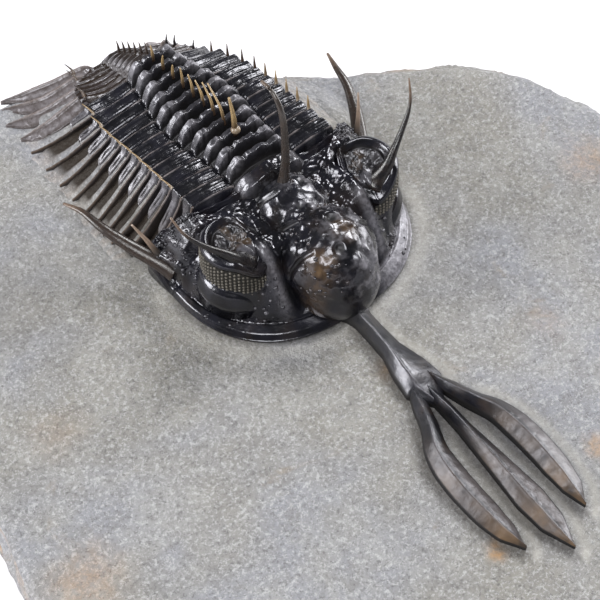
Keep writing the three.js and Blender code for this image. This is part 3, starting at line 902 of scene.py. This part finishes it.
# The handle and tines: line on the slab, half widths, keel heights and edge heights
FORK_BARS = {
    "handle": ([(0, -2.4), (0, -5), (0, -11), (0, -17.3)],
               [1.9, 1.35, 1.05, 1.05, 1.15, 1.9, 2.3, 0.5], [2.6, 2.4, 2.3, 2.2, 2.0, 1.0],
               [1.2, 1.1, 1, 1, 0.9, 0.5]),
    "middle_tine": ([(0, -13.6), (0, -22), (0, -30), (0, -37.8)],
                    [0.2, 0.65, 0.7, 1.0, 1.3, 1.6, 1.35, 0.05], [1.2, 2.0, 1.9, 1.7, 1.4, 0.8],
                    [0.6, 1.0, 0.9, 0.8, 0.7, 0.5]),
    "outer_tine": ([(0.9, -12.8), (2.6, -18.4), (4.1, -21.8), (4.6, -26), (4.45, -31),
                    (3.9, -35)],
                   [0.2, 0.8, 0.95, 1.2, 1.45, 1.5, 1.45, 1.1, 0.05],
                   [1.2, 2.1, 2.0, 1.9, 1.6, 1.0],
                   [0.6, 1.0, 0.9, 0.8, 0.6, 0.5]),
}


def fork_bar(bm, name, hand, rows):
    """One keeled bar of the fork, brown and grey towards a tine's tip; the grey +X face is painted
    light, the ridge line a painted highlight, and the edges and the darker −X face painted shade.
    """
    line, widths, keels, edges = FORK_BARS[name]
    points = [(hand * x, y, 0) for x, y in line]
    tine = name != "handle"
    keel_at = -0.2 if tine else -0.45

    def surface(u, v):
        s = u * 2 - 1
        place, forward = curve_point(points, v), curve_direction(points, v)
        reach = along(widths, v) * s
        fall = abs(s - keel_at) / (1 - keel_at if s > keel_at else 1 + keel_at)
        top = mix(along(keels, v), along(edges, v), fall ** 1.3)
        # The ridge line carries a painted highlight.
        ridge = bell(s, keel_at, 0.14) * smooth(0.05, 0.2, v) * smooth(1.0, 0.9, v)
        z = top + 0.08 * ridge + 0.04 * rough(place.x + s, place.y, 2, 1.0)
        # Painted shade along both edges and their walls and on the −X face of each tine; the
        # lighter grey +X face is painted light.
        edge = smooth(0.88, 1.0, abs(s))
        brown = 0.45 * smooth(0.25, 0.55, v) + 0.8 * smooth(0.65, 0.95, v)
        brown *= tine * smooth(0.0, -0.35, s) * (0.6 + 0.6 * rough(place.x, place.y, s, 2.0))
        grey = tine * smooth(-0.1, 0.3, s) * smooth(0.3, 0.6, v)
        shaded_side = 0.4 * tine * smooth(0.1, -0.3, s) * smooth(0.25, 0.45, v)
        return ((place.x - forward.y * reach, place.y + forward.x * reach, z),
                (0.3 * ridge + 0.3 * grey, brown + 0.12 * grey, max(edge, shaded_side)))
    relief(bm, 28, rows, surface, 0.0)


def fork(shell):
    bm = new_form()
    fork_bar(bm, "handle", 1, 90)
    fork_bar(bm, "middle_tine", 1, 130)
    fork_bar(bm, "outer_tine", 1, 130)
    fork_bar(bm, "outer_tine", -1, 130)
    finished(bm, "fork", shell)


# The tail

# The ribs of one side: root, bend and tip on the slab, and height at the root
TAIL_RIBS = [
    ((7.9, 37.7), (12.2, 37.7), (15.3, 39.0), 2.9),
    ((7.3, 39.3), (11.8, 39.8), (15.6, 41.8), 2.5),
    ((6.4, 41.0), (10.8, 41.5), (14.7, 44.1), 2.3),
    ((4.6, 42.3), (9.4, 43.3), (14.2, 45.2), 1.8),
]
TAIL_STUB = 0.25           # how much of a rib is left on the animal's left side


def tail_height(a, y, hand):
    """Height of the tail shield, and how far its axis reaches over a."""
    back = clamp((y - TAIL_START_Y) / (TAIL_END_Y - TAIL_START_Y))
    axis = mix(3.0, 1.7, back)
    crown = mix(8.2, 1.6, back)
    side = mix(3.2, 0.9, back) - hand * 0.7
    out = clamp((a - axis) / (8 - axis))
    rise = TAIL_RING_RISE * (1 - 0.6 * back)
    field = max(LIFT + 0.4, mix(crown - rise, side, out))
    if a < axis:
        return field + rise * (1 - (a / axis) ** 2.4) ** 0.5, a / axis
    return field, 1.0


def tail_y(a, t, hand):
    front = crest_y(SEGMENTS + 1, min(a, 8), hand) - 0.2
    return max(front, mix(front, TAIL_END_Y + (0.06 * a if hand < 0 else -0.25 * a), t))


def tail(shell):
    """The tail shield and the ribs that run out from it, cut short on the animal's left."""
    bm = new_form()

    def surface(u, v):
        s = u * 2 - 1
        hand = -1 if s < 0 else 1
        a = 7.9 * math.sqrt(1 - (0.97 * v) ** 2) * abs(s)
        y = tail_y(a, v, hand)
        z, t = tail_height(a, y, hand)
        ring = 0.5 + 0.5 * math.cos(2 * math.pi * (v * 6.2 + 0.3 * abs(s)))
        on_axis = smooth(1.0, 0.85, t)
        ridge = smooth(0.75, 1, ring)
        wave = rough(hand * a, y, 3, 0.9)
        z += on_axis * (0.5 * ring - 0.35) * (1 - 0.5 * v)
        z += (1 - on_axis) * 0.22 * ridge + 0.07 * wave
        # Painted sheen on the axial ring lobes, a pale line along the side ridges that is partly a
        # painted highlight, and painted shade in the gaps between the rings.
        lobe = on_axis * ring * bell(t, 0.78, 0.3)
        pale = 0.8 * lobe + 0.3 * (1 - on_axis) * ridge * clamp(0.5 + wave)
        return (hand * a, y, max(z, LIFT + 0.2)), (pale, 0.1, 0.7 * on_axis * (1 - ring))
    relief(bm, 130, 110, surface)
    for hand in (-1, 1):
        for root, bend, tip, top in TAIL_RIBS:
            reach, squeeze, shift = (1, 1, 0) if hand < 0 else (TAIL_STUB, 0.85, -1.6)
            ends = [(mix(root[0], p[0], reach), mix(root[1], p[1], reach)) for p in (bend, tip)]
            line = [(root[0] * 0.7, root[1] - 0.3), root, *ends]
            points = [(hand * x * squeeze, y + shift, 0) for x, y in line]

            def rib(u, v, points=points, top=top, hand=hand):
                s = (u * 2 - 1) * -hand
                place, forward = curve_point(points, v), curve_direction(points, v)
                wide = along([0.25, 0.95, 1.05, 0.9, 0.12], v) * (u * 2 - 1)
                keel = along([top - 0.4, top, top * 0.6, 0.2], v)
                crest = bell(s, -0.55, 0.35)
                z = keel - 0.3 + 0.3 * crest - 0.35 * smooth(-0.2, 1, s) - 0.8 * smooth(-0.8, -1, s)
                z += 0.06 * rough(place.x, place.y, s, 0.8)
                # Pale: the rib's paler shell, lighter along the crest where it is partly a painted
                # highlight. Deep: painted shade on the side that drops away.
                return ((place.x - forward.y * wide, place.y + forward.x * wide, max(z, 0.05)),
                        (0.3 + 0.6 * crest + 0.3 * bell(s, 0.3, 0.6), 0.15 + 0.2 * crest,
                         smooth(-0.8, -1, s)))
            relief(bm, 16, 60, rib, -0.3)
    finished(bm, "tail", shell, ["pygidium"])


def tail_spines(material):
    bm = new_form()
    for hand in (-1, 1):
        for k in range(SEGMENTS + 1, SEGMENTS + 4):
            x = fulcrum_x(k) * (1.15 if k > 13 else 1)
            y = min(crest_y(k, x, hand), 42.6 if hand < 0 else 39.5)
            z, _ = tail_height(x, y, hand)
            back, rise = (1.6, 0.6) if hand < 0 else (0.5, 1.2)
            thorn(bm, [(hand * x, y - 0.1, z - 0.3), (hand * x, y + 0.3 * back, z + 0.5 * rise),
                       (hand * (x + 0.3), y + back, z + rise)], 0.28, 8, 8, 0.15,
                  marks=lambda t, hand=hand: (0, 0.5 * (hand < 0) * (1 - t), 0))
    for ring in range(6):
        y = mix(TAIL_START_Y + 0.4, TAIL_END_Y, ring / 6)
        crown, _ = tail_height(0, y, 1)
        thorn(bm, [(0, y, crown - 0.8), (0, y + 0.1, crown + 0.7), (0, y + 0.4, crown + 1.5)],
              0.28, 8, 8, 0.15, marks=lambda t: (0, 0.25 * t, 0))
    finished(bm, "tail_spines", material)


# The slab

STONE_VOXEL = 0.55

# Stains on the stone: x, y, radius and strength
STAINS = [
    (9.5, -30.3, 2.0, 0.7), (-6.2, -33.6, 1.5, 0.9), (-1.4, -10.5, 2.0, 0.35),
    (34.5, -2.5, 5, 0.4), (-40, -12, 6, 0.4), (-33, 4, 5, 0.15), (16, -16, 3, 0.15),
]


def beside_fossil(x, y):
    """Marks on the stone beside the fossil: a pale line along the +X side of the fork's bars and
    round the head's front, and painted shade along the bars' −X side and under the head's margin.
    """
    pale = shade = 0.0
    for name, hand in (("handle", 1), ("middle_tine", 1), ("outer_tine", 1), ("outer_tine", -1)):
        line, widths, _, _ = FORK_BARS[name]
        near = None
        for step in range(25):
            v = step / 24
            point = curve_point([(hand * px, py, 0) for px, py in line], v)
            gap = math.hypot(x - point.x, y - point.y) - along(widths, v)
            if near is None or gap < near[0]:
                near = (gap, x - point.x, v)
        gap, across, v = near
        if across > 0:
            pale = max(pale, 0.9 * bell(gap, 1.1, 0.9) * smooth(0.1, 0.3, v))
        else:
            shade = max(shade, 0.55 * bell(gap, 0.2, 1.6) * smooth(0.05, 0.2, v))
    r = math.hypot(x / 14.1, (y - 8.5) / 11.6)
    if y < 12:
        pale = max(pale, 0.6 * bell((r - 1) * 12, 1.3, 1.4))
        shade = max(shade, 0.5 * bell((r - 1) * 12, -0.2, 1.0))
    return pale, shade


def slab(stone):
    """The stone plate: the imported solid's form with a broken rim and a low relief."""
    bm = bmesh.new()
    bm.from_mesh(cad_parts["matrix"].data)
    bmesh.ops.remove_doubles(bm, verts=bm.verts, dist=1e-6)
    mesh = bpy.data.meshes.new("stone_blank")
    bm.to_mesh(mesh)
    bm.free()
    blank = bpy.data.objects.new("stone_blank", mesh)
    bpy.context.scene.collection.objects.link(blank)
    remesh = blank.modifiers.new("even", "REMESH")
    remesh.mode = "VOXEL"
    remesh.voxel_size = STONE_VOXEL * MM
    bpy.context.view_layer.update()
    even = blank.evaluated_get(bpy.context.evaluated_depsgraph_get()).to_mesh()
    bm = new_form()
    bm.from_mesh(even)
    tone = bm.verts.layers.float_color.get("tone") or bm.verts.layers.float_color.new("tone")
    bmesh.ops.scale(bm, verts=bm.verts, vec=(1 / MM, 1 / MM, 1 / MM))
    bmesh.ops.translate(bm, verts=bm.verts, vec=(0, 0, -DECK))
    bm.normal_update()
    for vert in bm.verts:
        x, y, z = vert.co
        up = vert.normal.z
        on_top = smooth(0.4, 0.8, up) * smooth(-3, -0.6, z)
        on_side = smooth(0.8, 0.3, abs(up))
        swell = 0.22 * rough(x, y, 0, 14) + 0.12 * rough(x, y, 0, 3.5) + 0.05 * rough(x, y, 0, 1.1)
        layers = rough(x, y, z * 4.5, 7) * 0.8 + mix(-0.8, 0.2, smooth(0, 12, x))
        vert.co += Vector((0, 0, 1)) * (swell - 0.1) * on_top + vert.normal * layers * on_side * 0.8
        pale, shade = beside_fossil(x, y) if on_top and abs(x) < 20 and -42 < y < 14 else (0, 0)
        tan = 0.6 * on_side * smooth(-0.2, 0.5, rough(x, y, z * 3, 9))
        for sx, sy, size, strength in STAINS:
            gap = math.hypot(x - sx, y - sy) + rough(x, y, 2, 3)
            tan = max(tan, on_top * strength * bell(gap, 0, size))
        shade = max(shade, 0.25 * bell(math.hypot(x + 27, y - 21), 0, 13) * on_top)
        vert[tone] = (pale, clamp(tan), shade, 1)
    bpy.data.objects.remove(blank)
    finished(bm, "stone_slab", stone, ["matrix"])


# The scene round the fossil

CAMERA_FROM = Vector((-70.09, -85.61, 174.50)) * MM
CAMERA_TO = Vector((-4.95, 0.05, 19.6)) * MM
CAMERA_LENS = 108.2
LIGHTS_AIM = Vector((0, 0.01, 0.018))


def camera():
    data = bpy.data.cameras.new("camera")
    data.lens = CAMERA_LENS
    data.sensor_width = 36
    data.clip_start = 0.01
    obj = bpy.data.objects.new("camera", data)
    obj.location = CAMERA_FROM
    obj.rotation_euler = (CAMERA_TO - CAMERA_FROM).to_track_quat("-Z", "Y").to_euler()
    bpy.context.scene.collection.objects.link(obj)
    bpy.context.scene.camera = obj


def softbox(name, place, size, power):
    """A square area light at place, in metres, that looks at the fossil."""
    data = bpy.data.lights.new(name, "AREA")
    data.shape = "SQUARE"
    data.size = size
    data.energy = power
    obj = bpy.data.objects.new(name, data)
    obj.location = place
    obj.rotation_euler = (LIGHTS_AIM - Vector(place)).to_track_quat("-Z", "Y").to_euler()
    bpy.context.scene.collection.objects.link(obj)


def floor():
    bm = bmesh.new()
    bmesh.ops.create_grid(bm, x_segments=1, y_segments=1, size=3)
    mesh = bpy.data.meshes.new("floor")
    bm.to_mesh(mesh)
    bm.free()
    paint = Paint("floor_white")
    paint.shader.inputs["Base Color"].default_value = (0.9, 0.89, 0.92, 1)
    paint.shader.inputs["Roughness"].default_value = 0.9
    mesh.materials.append(paint.material)
    obj = bpy.data.objects.new("floor", mesh)
    bpy.context.scene.collection.objects.link(obj)


def light():
    world = bpy.data.worlds.new("world")
    world.use_nodes = True
    background = world.node_tree.nodes["Background"]
    background.inputs["Color"].default_value = (0.93, 0.94, 1.0, 1)
    background.inputs["Strength"].default_value = 0.12
    bpy.context.scene.world = world
    softbox("left_back", (-0.45, 0.25, 0.22), 0.24, 3.0)
    softbox("right_high", (0.36, 0.15, 0.36), 0.17, 2.0)
    softbox("right_low", (0.45, 0.0, 0.06), 0.22, 1.3)
    softbox("overhead", (-0.18, -0.2, 0.45), 0.22, 1.9)


camera()
light()
floor()

stone = limestone()
thorax_shell = black_shell("black_shell")
head_shell = black_shell("head_shell", 0.14, 0.17, 0.28)
fork_shell = black_shell("fork_shell", 0.3, 0.27, 0.25)
golden = spine_shell("golden_spine", (0.05, 0.03, 0.02), (0.36, 0.25, 0.12))
dark_spine = spine_shell("dark_spine", (0.008, 0.007, 0.008), (0.26, 0.18, 0.13))

slab(stone)
rock_fill(-1, stone)
rock_fill(1, stone)
for number in range(1, SEGMENTS + 1):
    segment(number, thorax_shell)
thorax_spines(golden)
head_shield(head_shell)
glabella(head_shell)
glabella_tubercles(head_shell)
occipital_ring(head_shell)
eyes(head_shell)
eye_lenses(eye_glass())
head_spines(dark_spine)
cheek_tubercles(head_shell)
fork(fork_shell)
tail(thorax_shell)
tail_spines(dark_spine)

bpy.context.scene.view_settings.view_transform = "Standard"
